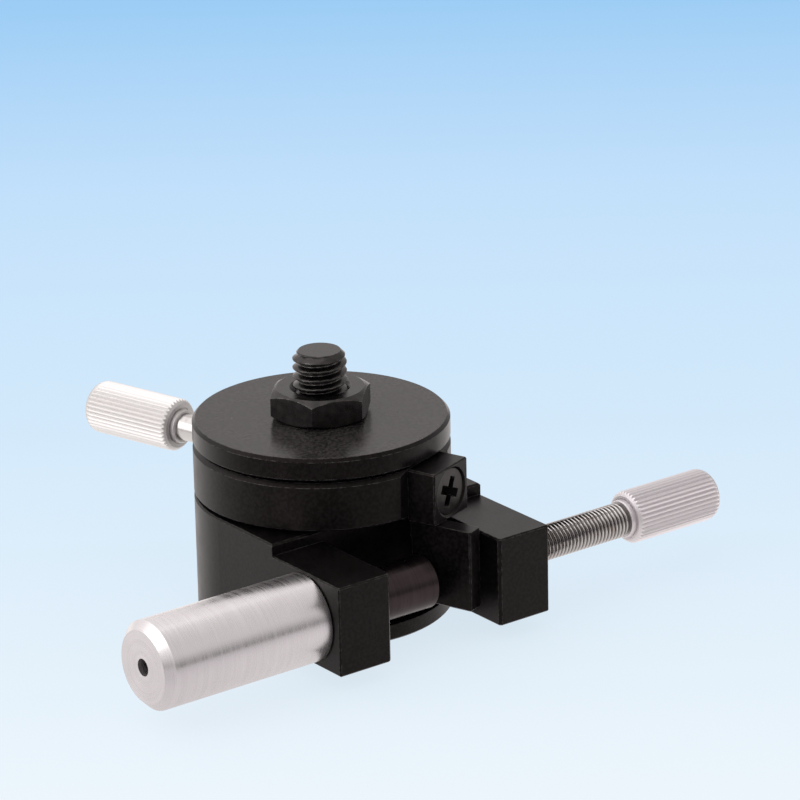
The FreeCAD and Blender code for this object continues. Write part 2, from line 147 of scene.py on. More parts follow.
paper = bpy.data.materials.new("pale paper")
paper.use_nodes = True
tree = paper.node_tree
tree.nodes.remove(tree.nodes["Principled BSDF"])
place = add_node(tree, "ShaderNodeTexCoord").outputs["Object"]
view_way = (-math.sin(camera_azimuth), math.cos(camera_azimuth), 0)
away = reckon_vectors(tree, "DOT_PRODUCT", place, view_way)
tones = add_node(tree, "ShaderNodeValToRGB", {"Fac": stretch(tree, away, paper_front, paper_back)})
while len(tones.color_ramp.elements) < len(paper_tones):
    tones.color_ramp.elements.new(0.5)
for stop, (spot, colour) in zip(tones.color_ramp.elements, paper_tones):
    stop.position = spot
    stop.color = (*colour, 1)
rays = add_node(tree, "ShaderNodeLightPath")
# Painted shade in reflections: for glossy rays the floor turns darker towards the front of the mount.
mirror_tone = blend_colours(tree, stretch(tree, away, near_mirror, far_mirror), near_mirror_painted_shade,
                            far_mirror_tone)
tint = blend_colours(tree, rays.outputs["Is Glossy Ray"], tones.outputs["Color"], mirror_tone)
lit = add_node(tree, "ShaderNodeBsdfDiffuse", {"Color": tint})
glow = add_node(tree, "ShaderNodeEmission", {"Color": tint, "Strength": 1.0})
seen = reckon(tree, "MAXIMUM", rays.outputs["Is Camera Ray"], rays.outputs["Is Transmission Ray"])
mirrored = reckon(tree, "MULTIPLY", rays.outputs["Is Glossy Ray"], paper_mirror_glow)
shown = reckon(tree, "MAXIMUM", reckon(tree, "MULTIPLY", seen, paper_glow), mirrored)
top = add_node(tree, "ShaderNodeMixShader", {0: shown, 1: lit.outputs[0], 2: glow.outputs[0]})
clear = add_node(tree, "ShaderNodeBsdfTransparent")
facing = add_node(tree, "ShaderNodeNewGeometry")
sheet = add_node(tree, "ShaderNodeMixShader", {0: facing.outputs["Backfacing"], 1: top.outputs[0],
                                               2: clear.outputs[0]})
tree.links.new(sheet.outputs[0], tree.nodes["Material Output"].inputs["Surface"])

paper_mesh = bpy.data.meshes.new("floor")
corner_turns = [math.tau * i / paper_sides for i in range(paper_sides)]
corners = [(paper_radius * math.cos(turn), paper_radius * math.sin(turn), paper_height)
           for turn in corner_turns]
paper_mesh.from_pydata(corners, [], [range(paper_sides)])
paper_mesh.materials.append(paper)
floor = bpy.data.objects.new("floor", paper_mesh)
bpy.context.scene.collection.objects.link(floor)


# Plain soft studio light: a pale room that is brighter behind and overhead and darker low down
# in front, with a large weak box overhead and one on the left.
def softbox(name, spot, width, height, watts):
    """Area lamp that points at the mount."""
    light = bpy.data.lights.new(name, "AREA")
    light.shape = "RECTANGLE"
    light.size = width
    light.size_y = height
    light.energy = watts
    lamp = bpy.data.objects.new(name, light)
    lamp.location = spot
    lamp.rotation_euler = (Vector((0, 0, aim_height)) - Vector(spot)).to_track_quat("-Z", "Y").to_euler()
    bpy.context.scene.collection.objects.link(lamp)


def part(tree, vector, axis):
    """The X, Y or Z part of a vector."""
    return add_node(tree, "ShaderNodeSeparateXYZ", {0: vector}).outputs[axis]


softbox("overhead box", (-0.16, 0.20, 0.56), 0.80, 0.80, 0.85)
softbox("left box", (-0.60, 0.10, 0.30), 0.50, 0.60, 0.8)

low_front = 0.16
high_front = 0.62
rear_level = 0.86
rear_way = (-0.45, 0.85, 0.25)
room_tone = (1.0, 0.955, 0.95)
room = bpy.data.worlds.new("room")
room.use_nodes = True
tree = room.node_tree
way = add_node(tree, "ShaderNodeTexCoord").outputs["Generated"]
front = stretch(tree, part(tree, way, "Z"), -0.05, 0.45, low_front, high_front, "SMOOTHSTEP")
behind = reckon_vectors(tree, "DOT_PRODUCT", way, rear_way)
rear = stretch(tree, behind, -0.5, 0.8, curve="SMOOTHSTEP")
level = reckon(tree, "MULTIPLY_ADD", rear, reckon(tree, "SUBTRACT", rear_level, front), front)
tree.nodes["Background"].inputs["Color"].default_value = (*room_tone, 1)
tree.links.new(level, tree.nodes["Background"].inputs["Strength"])
bpy.context.scene.world = room


# The base body is milled and turned from aluminium, blasted matt and anodised black: a round
# block with two square arms.
def start_finish(name, colour, metallic, roughness):
    """Node material with one Principled shader, and the place on the piece in metres."""
    finish = bpy.data.materials.new(name)
    finish.use_nodes = True
    tree = finish.node_tree
    shader = tree.nodes["Principled BSDF"]
    shader.inputs["Base Color"].default_value = (*colour, 1)
    shader.inputs["Metallic"].default_value = metallic
    shader.inputs["Roughness"].default_value = roughness
    return finish, tree, shader, add_node(tree, "ShaderNodeTexCoord").outputs["Object"]


def cloud(tree, place, size, detail=2.0):
    """Noise from 0 to 1 whose blots are about size across."""
    noise = add_node(tree, "ShaderNodeTexNoise", {"Vector": place, "Scale": 1 / size, "Detail": detail})
    return noise.outputs["Fac"]


def raise_surface(tree, height, depth, normal=None):
    """Normal of a surface with relief of that depth in metres."""
    inputs = {"Height": height, "Distance": depth, "Strength": 1.0}
    if normal is not None:
        inputs["Normal"] = normal
    return add_node(tree, "ShaderNodeBump", inputs).outputs["Normal"]


def combine(tree, x=0.0, y=0.0, z=0.0):
    """Vector from its three parts."""
    return add_node(tree, "ShaderNodeCombineXYZ", {0: x, 1: y, 2: z}).outputs["Vector"]


drift = 0.02


def turned_place(tree, place, centre, axis):
    """Place on a turned piece as (along its axis, distance from it, slowly round it)."""
    turn = Vector((1, 0, 0)).rotation_difference(Vector(axis)).to_euler()
    own = add_node(tree, "ShaderNodeMapping", {"Vector": place, "Location": centre, "Rotation": turn},
                   vector_type="TEXTURE").outputs["Vector"]
    radius = reckon_vectors(tree, "LENGTH", reckon_vectors(tree, "MULTIPLY", own, (0, 1, 1)))
    across = reckon(tree, "ADD", part(tree, own, "Y"), part(tree, own, "Z"))
    return combine(tree, part(tree, own, "X"), radius, reckon(tree, "MULTIPLY", across, drift))


def found_edges(tree, radius, flat, bent):
    """Normal rounded over the edges, and a mask that is 0 on the flats and 1 on the edges."""
    round_edge = add_node(tree, "ShaderNodeBevel", {"Radius": radius}, samples=4).outputs["Normal"]
    true_normal = add_node(tree, "ShaderNodeNewGeometry").outputs["Normal"]
    bend = reckon_vectors(tree, "DOT_PRODUCT", round_edge, true_normal)
    return round_edge, stretch(tree, bend, flat, bent)


mottle_size = 2.5 * mm
fleck_size = 0.38 * mm
grain_size = 0.10 * mm
turning_size = 0.09 * mm
edge_radius = 0.12 * mm
worn_tone = (0.22, 0.205, 0.20)
worn_share = 0.6
speck_spacing = 2.6 * mm
speck_rarity = 0.72
speck_tone = (0.6, 0.58, 0.55)


def black_anodised(name, roughness, grain_depth, turning=None, tone=0.004, top_painted_light=None):
    """Black anodising with its grain, faint mottling, a few dust specks, paler worn edges and, where asked,
    painted light on the faces that point up.
    """
    finish, tree, shader, place = start_finish(name, (tone, tone, tone), 0.0, roughness)
    shader.inputs["IOR"].default_value = 1.5
    shader.inputs["Specular Tint"].default_value = (0.27, 0.22, 0.22, 1)
    mottle = cloud(tree, place, mottle_size, 4)
    fleck = cloud(tree, place, fleck_size, 3)
    grain = cloud(tree, place, grain_size, 3)
    dark = (tone * 0.4, tone * 0.34, tone * 0.34)
    light = (tone * 1.9, tone * 1.65, tone * 1.65)
    patchy = reckon(tree, "MULTIPLY_ADD", mottle, 0.4, reckon(tree, "MULTIPLY", fleck, 1.6))
    blotch = stretch(tree, patchy, 0.84, 1.16)
    colour = blend_colours(tree, blotch, dark, light)
    # Painted light: faces that point up are blended towards a much paler mottled tone.
    if top_painted_light:
        paler = blend_colours(tree, blotch, (top_painted_light * 0.50, top_painted_light * 0.45, top_painted_light * 0.45),
                              (top_painted_light * 1.7, top_painted_light * 1.55, top_painted_light * 1.5))
        up = part(tree, add_node(tree, "ShaderNodeNewGeometry").outputs["Normal"], "Z")
        colour = blend_colours(tree, stretch(tree, up, 0.9, 1.0), colour, paler)
    round_edge, edge = found_edges(tree, edge_radius, 0.995, 0.90)
    wear = reckon(tree, "MULTIPLY", edge, stretch(tree, cloud(tree, place, 0.5 * mm, 3), 0.38, 0.62))
    colour = blend_colours(tree, reckon(tree, "MULTIPLY", wear, worn_share), colour, worn_tone)
    cells = add_node(tree, "ShaderNodeTexVoronoi", {"Vector": place, "Scale": 1 / speck_spacing})
    chosen = add_node(tree, "ShaderNodeSeparateColor", {0: cells.outputs["Color"]}).outputs["Red"]
    speck = reckon(tree, "MULTIPLY", stretch(tree, cells.outputs["Distance"], 0.030, 0.016),
                   reckon(tree, "GREATER_THAN", chosen, speck_rarity))
    colour = blend_colours(tree, reckon(tree, "MULTIPLY", speck, 0.6), colour, speck_tone)
    tree.links.new(colour, shader.inputs["Base Color"])
    rough = stretch(tree, reckon(tree, "ADD", mottle, grain), 0.6, 1.4, roughness - 0.05, roughness + 0.06)
    tree.links.new(rough, shader.inputs["Roughness"])
    normal = raise_surface(tree, grain, grain_depth, round_edge)
    if turning:
        marks = cloud(tree, turned_place(tree, place, *turning), turning_size, 2)
        normal = raise_surface(tree, marks, grain_depth * 0.7, normal)
    tree.links.new(normal, shader.inputs["Normal"])
    return finish


def dress(node, finish):
    """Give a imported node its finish."""
    cad_nodes[node].data.materials.clear()
    cad_nodes[node].data.materials.append(finish)


milled_black = black_anodised("milled black anodising", 0.32, 0.0032 * mm)
dress("base_body", milled_black)
dress("lever", milled_black)

# The foot, the clamp ring and the rotary table are turned, so their grain runs round the
# rotation axis under the same black anodising. The table's top is the smoothest, and the
# foot is a little greyer than the rest. The table carries painted light and shade: its
# upward faces are painted paler and its sides a shade darker.
rotation_axis = ((0, 0, 0), (0, 0, 1))
turned_grain = 0.0020 * mm
foot_tone = 0.010
# Painted shade on the table's sides (a darker tone) and painted light on its top (a paler one).
table_side_painted_shade = 0.003
table_top_painted_light = 0.024
dress("clamp_ring", black_anodised("turned black anodising", 0.34, turned_grain, rotation_axis))
dress("foot_plate", black_anodised("foot black anodising", 0.34, turned_grain, rotation_axis, foot_tone))
dress("rotary_table", black_anodised("table black anodising", 0.24, 0.0016 * mm, rotation_axis,
                                     table_side_painted_shade, table_top_painted_light))


# Two washers of natural acetal run between base, ring and table, punched from sheet.
def natural_acetal():
    """Slightly translucent off-white plastic with fine scuffs."""
    finish, tree, shader, place = start_finish("natural acetal", (0.78, 0.77, 0.71), 0.0, 0.45)
    shader.inputs["Subsurface Weight"].default_value = 0.15
    shader.inputs["Subsurface Scale"].default_value = 0.3 * mm
    scuffs = cloud(tree, place, 0.25 * mm, 4)
    tree.links.new(stretch(tree, scuffs, 0.3, 0.7, 0.38, 0.55), shader.inputs["Roughness"])
    tree.links.new(raise_surface(tree, scuffs, 0.002 * mm), shader.inputs["Normal"])
    return finish


acetal = natural_acetal()
dress("thrust_washer", acetal)
dress("table_washer", acetal)

# The thin nut is steel with a black oxide coat: nearly black, with a soft metal sheen and
# slightly paler edges where the spanner has rubbed.
rubbed_and_glint_tone = (0.32, 0.31, 0.30)


def black_oxide(name, tone, roughness, rub_and_glint=0.5):
    """Black oxide on machined steel, mottled, with rubbed edges; set high, the rubbed share also paints
    glints on the crests.
    """
    finish, tree, shader, place = start_finish(name, (tone, tone, tone), 1.0, roughness)
    mottle = cloud(tree, place, 0.9 * mm, 5)
    grain = cloud(tree, place, 0.07 * mm, 2)
    uneven = stretch(tree, mottle, 0.3, 0.7)
    colour = blend_colours(tree, uneven, (tone * 0.8, tone * 0.76, tone * 0.75),
                           (tone * 1.3, tone * 1.24, tone * 1.2))
    round_edge, edge = found_edges(tree, 0.10 * mm, 0.99, 0.88)
    wear = reckon(tree, "MULTIPLY", edge, stretch(tree, mottle, 0.40, 0.60))
    colour = blend_colours(tree, reckon(tree, "MULTIPLY", wear, rub_and_glint), colour, rubbed_and_glint_tone)
    tree.links.new(colour, shader.inputs["Base Color"])
    rough = stretch(tree, mottle, 0.3, 0.7, roughness - 0.06, roughness + 0.08)
    tree.links.new(rough, shader.inputs["Roughness"])
    tree.links.new(raise_surface(tree, grain, 0.0025 * mm, round_edge), shader.inputs["Normal"])
    return finish


dress("jam_nut", black_oxide("nut black oxide", 0.052, 0.26, 0.7))


# The stud is an M6 screw of black oxide steel. Its real thread stands over the nut and runs
# down into the nut's countersink, and below that it is a plain core.
def start_tree(name, inputs, result):
    """New geometry tree with named inputs of each kind, and the sockets that give them."""
    tree = bpy.data.node_groups.new(name, "GeometryNodeTree")
    for kind, sockets in inputs.items():
        for socket in sockets:
            tree.interface.new_socket(socket, in_out="INPUT", socket_type="NodeSocket" + kind)
    tree.interface.new_socket(result, in_out="OUTPUT", socket_type="NodeSocketGeometry")
    return tree, add_node(tree, "NodeGroupInput").outputs


def end_tree(tree, geometry, finish):
    """Hand the real geometry, with its finish, to the tree's output."""
    real = add_node(tree, "GeometryNodeRealizeInstances", {"Geometry": geometry})
    finished = add_node(tree, "GeometryNodeSetMaterial", {"Geometry": real.outputs[0], "Material": finish})
    add_node(tree, "NodeGroupOutput", {0: finished.outputs[0]})


def ridged_turning():
    """Tree that turns an outline round +Z and cuts a thread or a straight knurl into it.

    The outline's points hold the radius in x and the height in z, and their ridged
    attribute is 1 where the ridges are cut."""
    tree, given = start_tree("ridged turning", {
        "Geometry": ["Outline"], "Int": ["Steps"],
        "Float": ["Starts", "Start turn", "Ridges per metre", "Crest radius", "Depth", "Flat"],
        "Material": ["Finish"]}, "Piece")
    outline = given["Outline"]
    rows = add_node(tree, "GeometryNodeAttributeDomainSize", {0: outline}).outputs["Point Count"]
    columns = reckon(tree, "ADD", given["Steps"], 1.0)
    grid = add_node(tree, "GeometryNodeMeshGrid", {"Vertices X": columns, "Vertices Y": rows})
    index = add_node(tree, "GeometryNodeInputIndex").outputs[0]
    column = reckon(tree, "FLOOR", reckon(tree, "DIVIDE", reckon(tree, "ADD", index, 0.5), rows))
    row = reckon(tree, "SUBTRACT", index, reckon(tree, "MULTIPLY", column, rows))
    spot = add_node(tree, "GeometryNodeInputPosition").outputs[0]
    point = add_node(tree, "GeometryNodeSampleIndex", {"Geometry": outline, "Value": spot, "Index": row},
                     data_type="FLOAT_VECTOR").outputs[0]
    named = add_node(tree, "GeometryNodeInputNamedAttribute", {"Name": "ridged"}, data_type="FLOAT")
    ridged = add_node(tree, "GeometryNodeSampleIndex",
                      {"Geometry": outline, "Value": named.outputs[0], "Index": row},
                      data_type="FLOAT").outputs[0]
    plain = part(tree, point, "X")
    height = part(tree, point, "Z")
    turn = reckon(tree, "DIVIDE", column, given["Steps"])
    round_it = reckon(tree, "MULTIPLY_ADD", turn, given["Starts"], given["Start turn"])
    ridges = reckon(tree, "MULTIPLY", height, given["Ridges per metre"])
    phase = reckon(tree, "SUBTRACT", ridges, round_it)
    wave = reckon(tree, "MULTIPLY", reckon(tree, "PINGPONG", phase, 0.5), 2.0)
    tooth = stretch(tree, wave, given["Flat"], reckon(tree, "SUBTRACT", 1.0, given["Flat"]))
    sunk = reckon(tree, "MULTIPLY", given["Depth"], reckon(tree, "SUBTRACT", 1.0, tooth))
    cut = reckon(tree, "MINIMUM", plain, reckon(tree, "SUBTRACT", given["Crest radius"], sunk))
    change = reckon(tree, "MULTIPLY", reckon(tree, "SUBTRACT", cut, plain), ridged)
    radius = reckon(tree, "ADD", plain, change)
    angle = reckon(tree, "MULTIPLY", turn, math.tau)
    there = combine(tree, reckon(tree, "MULTIPLY", radius, reckon(tree, "COSINE", angle)),
                    reckon(tree, "MULTIPLY", radius, reckon(tree, "SINE", angle)), height)
    moved = add_node(tree, "GeometryNodeSetPosition", {"Geometry": grid.outputs["Mesh"], "Position": there})
    closed = add_node(tree, "GeometryNodeMergeByDistance", {"Geometry": moved.outputs[0], "Distance": 1e-6})
    end_tree(tree, closed.outputs[0], given["Finish"])
    return tree


def made_plain(name, source, tree, values, stand=Matrix.Identity(4), crease=35):
    """Run a geometry tree on a source mesh and keep the result as a plain closed piece."""
    helper = bpy.data.objects.new(name + " source", source)
    bpy.context.scene.collection.objects.link(helper)
    modifier = helper.modifiers.new("tree", "NODES")
    modifier.node_group = tree
    for socket in tree.interface.items_tree:
        if socket.in_out == "INPUT" and socket.name in values:
            modifier[socket.identifier] = values[socket.name]
    evaluated = helper.evaluated_get(bpy.context.evaluated_depsgraph_get())
    mesh = bpy.data.meshes.new_from_object(evaluated)
    bpy.data.objects.remove(helper)
    mesh.name = name
    work = bmesh.new()
    work.from_mesh(mesh)
    bmesh.ops.remove_doubles(work, verts=work.verts, dist=1e-7)
    bmesh.ops.recalc_face_normals(work, faces=work.faces)
    work.to_mesh(mesh)
    work.free()
    mesh.transform(stand)
    mesh.shade_smooth()
    mesh.set_sharp_from_angle(angle=math.radians(crease))
    piece = bpy.data.objects.new(name, mesh)
    bpy.context.scene.collection.objects.link(piece)
    return piece


def outline_mesh(name, points):
    """Line of (radius, height, ridged) points, in millimetres, for a turned piece."""
    mesh = bpy.data.meshes.new(name)
    mesh.from_pydata([(radius * mm, 0, height * mm) for radius, height, ridged in points],
                     [(i, i + 1) for i in range(len(points) - 1)], [])
    ridged = mesh.attributes.new("ridged", "FLOAT", "POINT")
    ridged.data.foreach_set("value", [float(point[2]) for point in points])
    return mesh


def threaded_run(radius, low, high, step):
    """Points of a threaded stretch, close enough together to carry the thread."""
    count = math.ceil((high - low) / step)
    return [(radius, low + (high - low) * i / count, 1) for i in range(count + 1)]


turning_tree = ridged_turning()
stud_low, stud_high = (corner.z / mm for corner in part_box("stud"))
stud_r = 2.94
stud_core_r = 2.62
stud_tip_r = 2.35
stud_pitch = 1.0
stud_chamfer = 0.65
stud_lower_chamfer = 0.3
stud_thread_depth = 0.58
chamfer_steps = 8
run_in_steps = 6
thread_low = 24.30
sunk_thread = stud_r - stud_core_r
stud_outline = ([(0, stud_low, 0), (stud_tip_r, stud_low, 0),
                 (stud_core_r, stud_low + stud_lower_chamfer, 0), (stud_core_r, thread_low, 0)]
                + [(stud_core_r + sunk_thread * i / run_in_steps,
                    thread_low + sunk_thread * i / run_in_steps, 1)
                   for i in range(1, run_in_steps)]
                + threaded_run(stud_r, thread_low + sunk_thread, stud_high - stud_chamfer, stud_pitch / 16)
                + [(stud_r - stud_chamfer * i / chamfer_steps,
                    stud_high - stud_chamfer + stud_chamfer * i / chamfer_steps, 1)
                   for i in range(1, chamfer_steps + 1)]
                + [(0, stud_high, 0)])
# The stud's high rubbed share pales its thread crests: partly rubbed wear, partly painted glints.
stud = made_plain("threaded_stud", outline_mesh("stud outline", stud_outline), turning_tree,
                  {"Steps": 96, "Starts": 1.0, "Start turn": 0.26, "Ridges per metre": 1 / (stud_pitch * mm),
                   "Crest radius": stud_r * mm, "Depth": stud_thread_depth * mm, "Flat": 0.14,
                   "Finish": black_oxide("stud black oxide", 0.055, 0.22, 0.8)})
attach(stud, "table")
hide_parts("stud")


# Under the base's web the spindle is held by a spring steel retaining ring and a coned disc
# spring, with a ground steel washer above them.
def spring_steel():
    """Hard drawn, oiled spring steel."""
    finish, tree, shader, place = start_finish("spring steel", (0.36, 0.35, 0.35), 1.0, 0.32)
    tone_patches = cloud(tree, place, 0.6 * mm, 4)
    colour = blend_colours(tree, stretch(tree, tone_patches, 0.35, 0.7), (0.30, 0.28, 0.27), (0.46, 0.45, 0.45))
    tree.links.new(colour, shader.inputs["Base Color"])
    tree.links.new(stretch(tree, tone_patches, 0.3, 0.7, 0.26, 0.40), shader.inputs["Roughness"])
    return finish


def turned_metal(name, colour, roughness, turning, mark_depth, streak=0.06, anisotropy=0.5):
    """Bare turned metal: lathe marks round the axis, faint streaks, and the sheen drawn across them."""
    finish, tree, shader, place = start_finish(name, colour, 1.0, roughness)
    shader.inputs["Anisotropic"].default_value = anisotropy
    shader.inputs["Anisotropic Rotation"].default_value = 0.25
    own = turned_place(tree, place, *turning)
    fine = cloud(tree, own, 0.05 * mm, 2)
    coarse = cloud(tree, own, 0.32 * mm, 3)
    smudge = cloud(tree, place, 2.2 * mm, 4)
    share = stretch(tree, reckon(tree, "ADD", coarse, reckon(tree, "MULTIPLY", smudge, 0.6)), 0.55, 1.05)
    darker = tuple(band * (1 - 2 * streak) for band in colour)
    lighter = tuple(min(1.0, band * (1 + streak)) for band in colour)
    tree.links.new(blend_colours(tree, share, darker, lighter), shader.inputs["Base Color"])
    rough = stretch(tree, coarse, 0.3, 0.7, roughness - 0.04, roughness + 0.06)
    tree.links.new(rough, shader.inputs["Roughness"])
    tree.links.new(raise_surface(tree, fine, mark_depth), shader.inputs["Normal"])
    centre, axis = turning
    arm = reckon_vectors(tree, "SUBTRACT", place, centre)
    ring_way = reckon_vectors(tree, "NORMALIZE", reckon_vectors(tree, "CROSS_PRODUCT", axis, arm))
    tree.links.new(ring_way, shader.inputs["Tangent"])
    return finish


spring_finish = spring_steel()
washer_steel = turned_metal("ground washer steel", (0.62, 0.61, 0.60), 0.22, rotation_axis, 0.001 * mm)
dress("retaining_ring", spring_finish)
dress("disc_spring", spring_finish)
dress("journal_washer", washer_steel)

# The spring barrel is bare aluminium, turned to a fine finish. Its end face has concentric
# rings round the vent hole.
screw_axis = ((0, -15.8 * mm, 6.8 * mm), (1, 0, 0))
dress("spring_barrel", turned_metal("turned aluminium", (0.92, 0.89, 0.90), 0.27, screw_axis,
                                    0.0007 * mm, 0.03, 0.55))

# The plunger is hardened steel, ground round and blackened, with a domed nose.
dress("plunger", turned_metal("ground dark steel", (0.060, 0.046, 0.048), 0.30, screw_axis,
                              0.0008 * mm, 0.10, 0.35))


# The return spring is wound from 0.5 mm spring wire, its end turns closer together. It is
# pressed shorter when the plunger goes in.
def wound_spring():
    """Tree that winds round wire into a coil along +Z."""
    tree, given = start_tree("wound spring", {
        "Geometry": ["Start"],
        "Float": ["Turns", "Coil radius", "Wire radius", "Height", "Closed ends"],
        "Material": ["Finish"]}, "Piece")
    line = add_node(tree, "GeometryNodeCurveSpiral", {
        "Resolution": 40, "Rotations": given["Turns"], "Start Radius": given["Coil radius"],
        "End Radius": given["Coil radius"], "Height": given["Height"]})
    spot = add_node(tree, "GeometryNodeInputPosition").outputs[0]
    share = reckon(tree, "DIVIDE", part(tree, spot, "Z"), given["Height"])
    eased = stretch(tree, share, 0.0, 1.0, curve="SMOOTHSTEP")
    pull = reckon(tree, "MULTIPLY", reckon(tree, "SUBTRACT", eased, share), given["Height"])
    offset = combine(tree, z=reckon(tree, "MULTIPLY", pull, given["Closed ends"]))
    closer = add_node(tree, "GeometryNodeSetPosition", {"Geometry": line.outputs[0], "Offset": offset})
    section = add_node(tree, "GeometryNodeCurvePrimitiveCircle",
                       {"Resolution": 12, "Radius": given["Wire radius"]})
    wire = add_node(tree, "GeometryNodeCurveToMesh", {
        "Curve": closer.outputs[0], "Profile Curve": section.outputs["Curve"], "Fill Caps": True})
    end_tree(tree, wire.outputs[0], given["Finish"])
    return tree


def stand_at(start, axis):
    """Matrix that puts a piece made along +Z at start, pointing along axis."""
    turn = Vector((0, 0, 1)).rotation_difference(Vector(axis))
    return Matrix.Translation(start) @ turn.to_matrix().to_4x4()


spring_low, spring_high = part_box("return_spring")
wire_r = 0.25 * mm
coil_r = (spring_high.z - spring_low.z) / 2 - wire_r
spring_length = spring_high.x - spring_low.x - 2 * wire_r
spring_stand = stand_at((spring_low.x + wire_r, screw_axis[0][1], screw_axis[0][2]), (1, 0, 0))
spring = made_plain("wound_return_spring", bpy.data.meshes.new("spring start"), wound_spring(),
                    {"Turns": 10.0, "Coil radius": coil_r, "Wire radius": wire_r, "Height": spring_length,
                     "Closed ends": 0.35, "Finish": spring_finish}, spring_stand)
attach(spring, "base")
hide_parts("return_spring")
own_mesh(spring)


# The fine screw is stainless steel with a fine thread of 0.5 mm, and a polished bearing ball
# sits in a socket in its nose.
def threaded_steel(name, turning, crest_r):
    """Bright rolled thread with painted shade in its grooves and brownish patches in places."""
    finish, tree, shader, place = start_finish(name, (0.56, 0.54, 0.53), 1.0, 0.22)
    # Random patches of a browner tone.
    tone_patches = cloud(tree, place, 1.6 * mm, 4)
    colour = blend_colours(tree, stretch(tree, tone_patches, 0.52, 0.72), (0.68, 0.66, 0.65), (0.50, 0.44, 0.40))
    own = turned_place(tree, place, *turning)
    # Painted shade: the colour darkens from the crest down into the thread's grooves.
    groove = stretch(tree, part(tree, own, "Y"), (crest_r - 0.02) * mm, (crest_r - 0.20) * mm)
    colour = blend_colours(tree, groove, colour, (0.16, 0.145, 0.14))
    tree.links.new(colour, shader.inputs["Base Color"])
    marks = cloud(tree, own, 0.06 * mm, 2)
    tree.links.new(stretch(tree, marks, 0.3, 0.7, 0.16, 0.28), shader.inputs["Roughness"])
    tree.links.new(raise_surface(tree, marks, 0.0005 * mm), shader.inputs["Normal"])
    return finish


fine_pitch = 0.5
fine_screw_r = 1.95
fine_relief_r = fine_screw_r - 0.28
fine_thread_depth = 0.27
fine_lead = 0.4
fine_run_out = 0.5
fine_relief = 0.35
ball_gap = 0.02
socket_steps = 12
fine_nose_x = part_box("fine_screw")[0].x / mm
fine_hub_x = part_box("fine_knob")[0].x / mm
ball_low, ball_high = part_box("fine_ball")
ball_x = (ball_low.x + ball_high.x) / 2 / mm - fine_nose_x
socket_r = (ball_high.x - ball_low.x) / 2 / mm + ball_gap
thread_end = fine_hub_x - fine_nose_x
shank_r = 1.5
shank_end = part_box("fine_screw")[1].x / mm - fine_nose_x
rim_turn = math.acos(-ball_x / socket_r)
fine_outline = ([(socket_r * math.sin(rim_turn * i / socket_steps),
                  ball_x + socket_r * math.cos(rim_turn * i / socket_steps), 0)
                 for i in range(socket_steps + 1)]
                + [(fine_screw_r - fine_lead + fine_lead * i / run_in_steps, fine_lead * i / run_in_steps, 1)
                   for i in range(run_in_steps)]
                + threaded_run(fine_screw_r, fine_lead, thread_end - fine_run_out, fine_pitch / 10)
                + [(fine_relief_r, thread_end - fine_relief, 0), (fine_relief_r, thread_end, 0),
                   (shank_r, thread_end, 0), (shank_r, shank_end, 0), (0, shank_end, 0)])
fine_stand = stand_at((fine_nose_x * mm, screw_axis[0][1], screw_axis[0][2]), (1, 0, 0))
fine_screw = made_plain("threaded_fine_screw", outline_mesh("fine screw outline", fine_outline), turning_tree,
                        {"Steps": 56, "Starts": 1.0, "Ridges per metre": 1 / (fine_pitch * mm),
                         "Crest radius": fine_screw_r * mm, "Depth": fine_thread_depth * mm, "Flat": 0.12,
                         "Finish": threaded_steel("fine thread steel", screw_axis, fine_screw_r)}, fine_stand)
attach(fine_screw, "fine_drive")
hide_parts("fine_screw")


def ball_finish():
    """Hard polished bearing steel with hair scratches."""
    finish, tree, shader, place = start_finish("bearing ball steel", (0.72, 0.72, 0.73), 1.0, 0.08)
    scratches = cloud(tree, place, 0.15 * mm, 5)
    tree.links.new(stretch(tree, scratches, 0.4, 0.8, 0.06, 0.16), shader.inputs["Roughness"])
    return finish


dress("fine_ball", ball_finish())


# Both knobs are aluminium bar with a straight knurl of 36 ridges, a low hub on the inner face
# and a well rounded outer end. The knurl was rolled first and the ends turned after it.
def knurled_aluminium(name, tone, turning):
    """Bare knurled aluminium, its crests burnished and its grooves duller."""
    finish, tree, shader, place = start_finish(name, tone, 1.0, 0.42)
    own = turned_place(tree, place, *turning)
    crest = stretch(tree, part(tree, own, "Y"), 2.68 * mm, 2.93 * mm)
    grit = cloud(tree, place, 0.12 * mm, 3)
    share = stretch(tree, reckon(tree, "ADD", crest, reckon(tree, "MULTIPLY", grit, 0.5)), 0.1, 1.2)
    groove = tuple(band * 0.78 for band in tone)
    tree.links.new(blend_colours(tree, share, groove, tone), shader.inputs["Base Color"])
    tree.links.new(stretch(tree, share, 0.0, 1.0, 0.50, 0.38), shader.inputs["Roughness"])
    tree.links.new(raise_surface(tree, grit, 0.004 * mm), shader.inputs["Normal"])
    return finish


knob_r = 2.95
knob_hub_length = 0.6
knob_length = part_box("fine_knob")[1].x / mm - fine_hub_x - knob_hub_length
knob_edge = 0.45
knob_round = 1.2
bore_r = 1.52
bore_end = 6.7
hub_break = 0.13
face_groove = 0.10
groove_floor = 0.10
groove_rim = 0.14
knurl_ridges = 36
knurl_depth = 0.24
steps_per_ridge = 8
edge_steps = 8
side_steps = 10
round_steps = 14


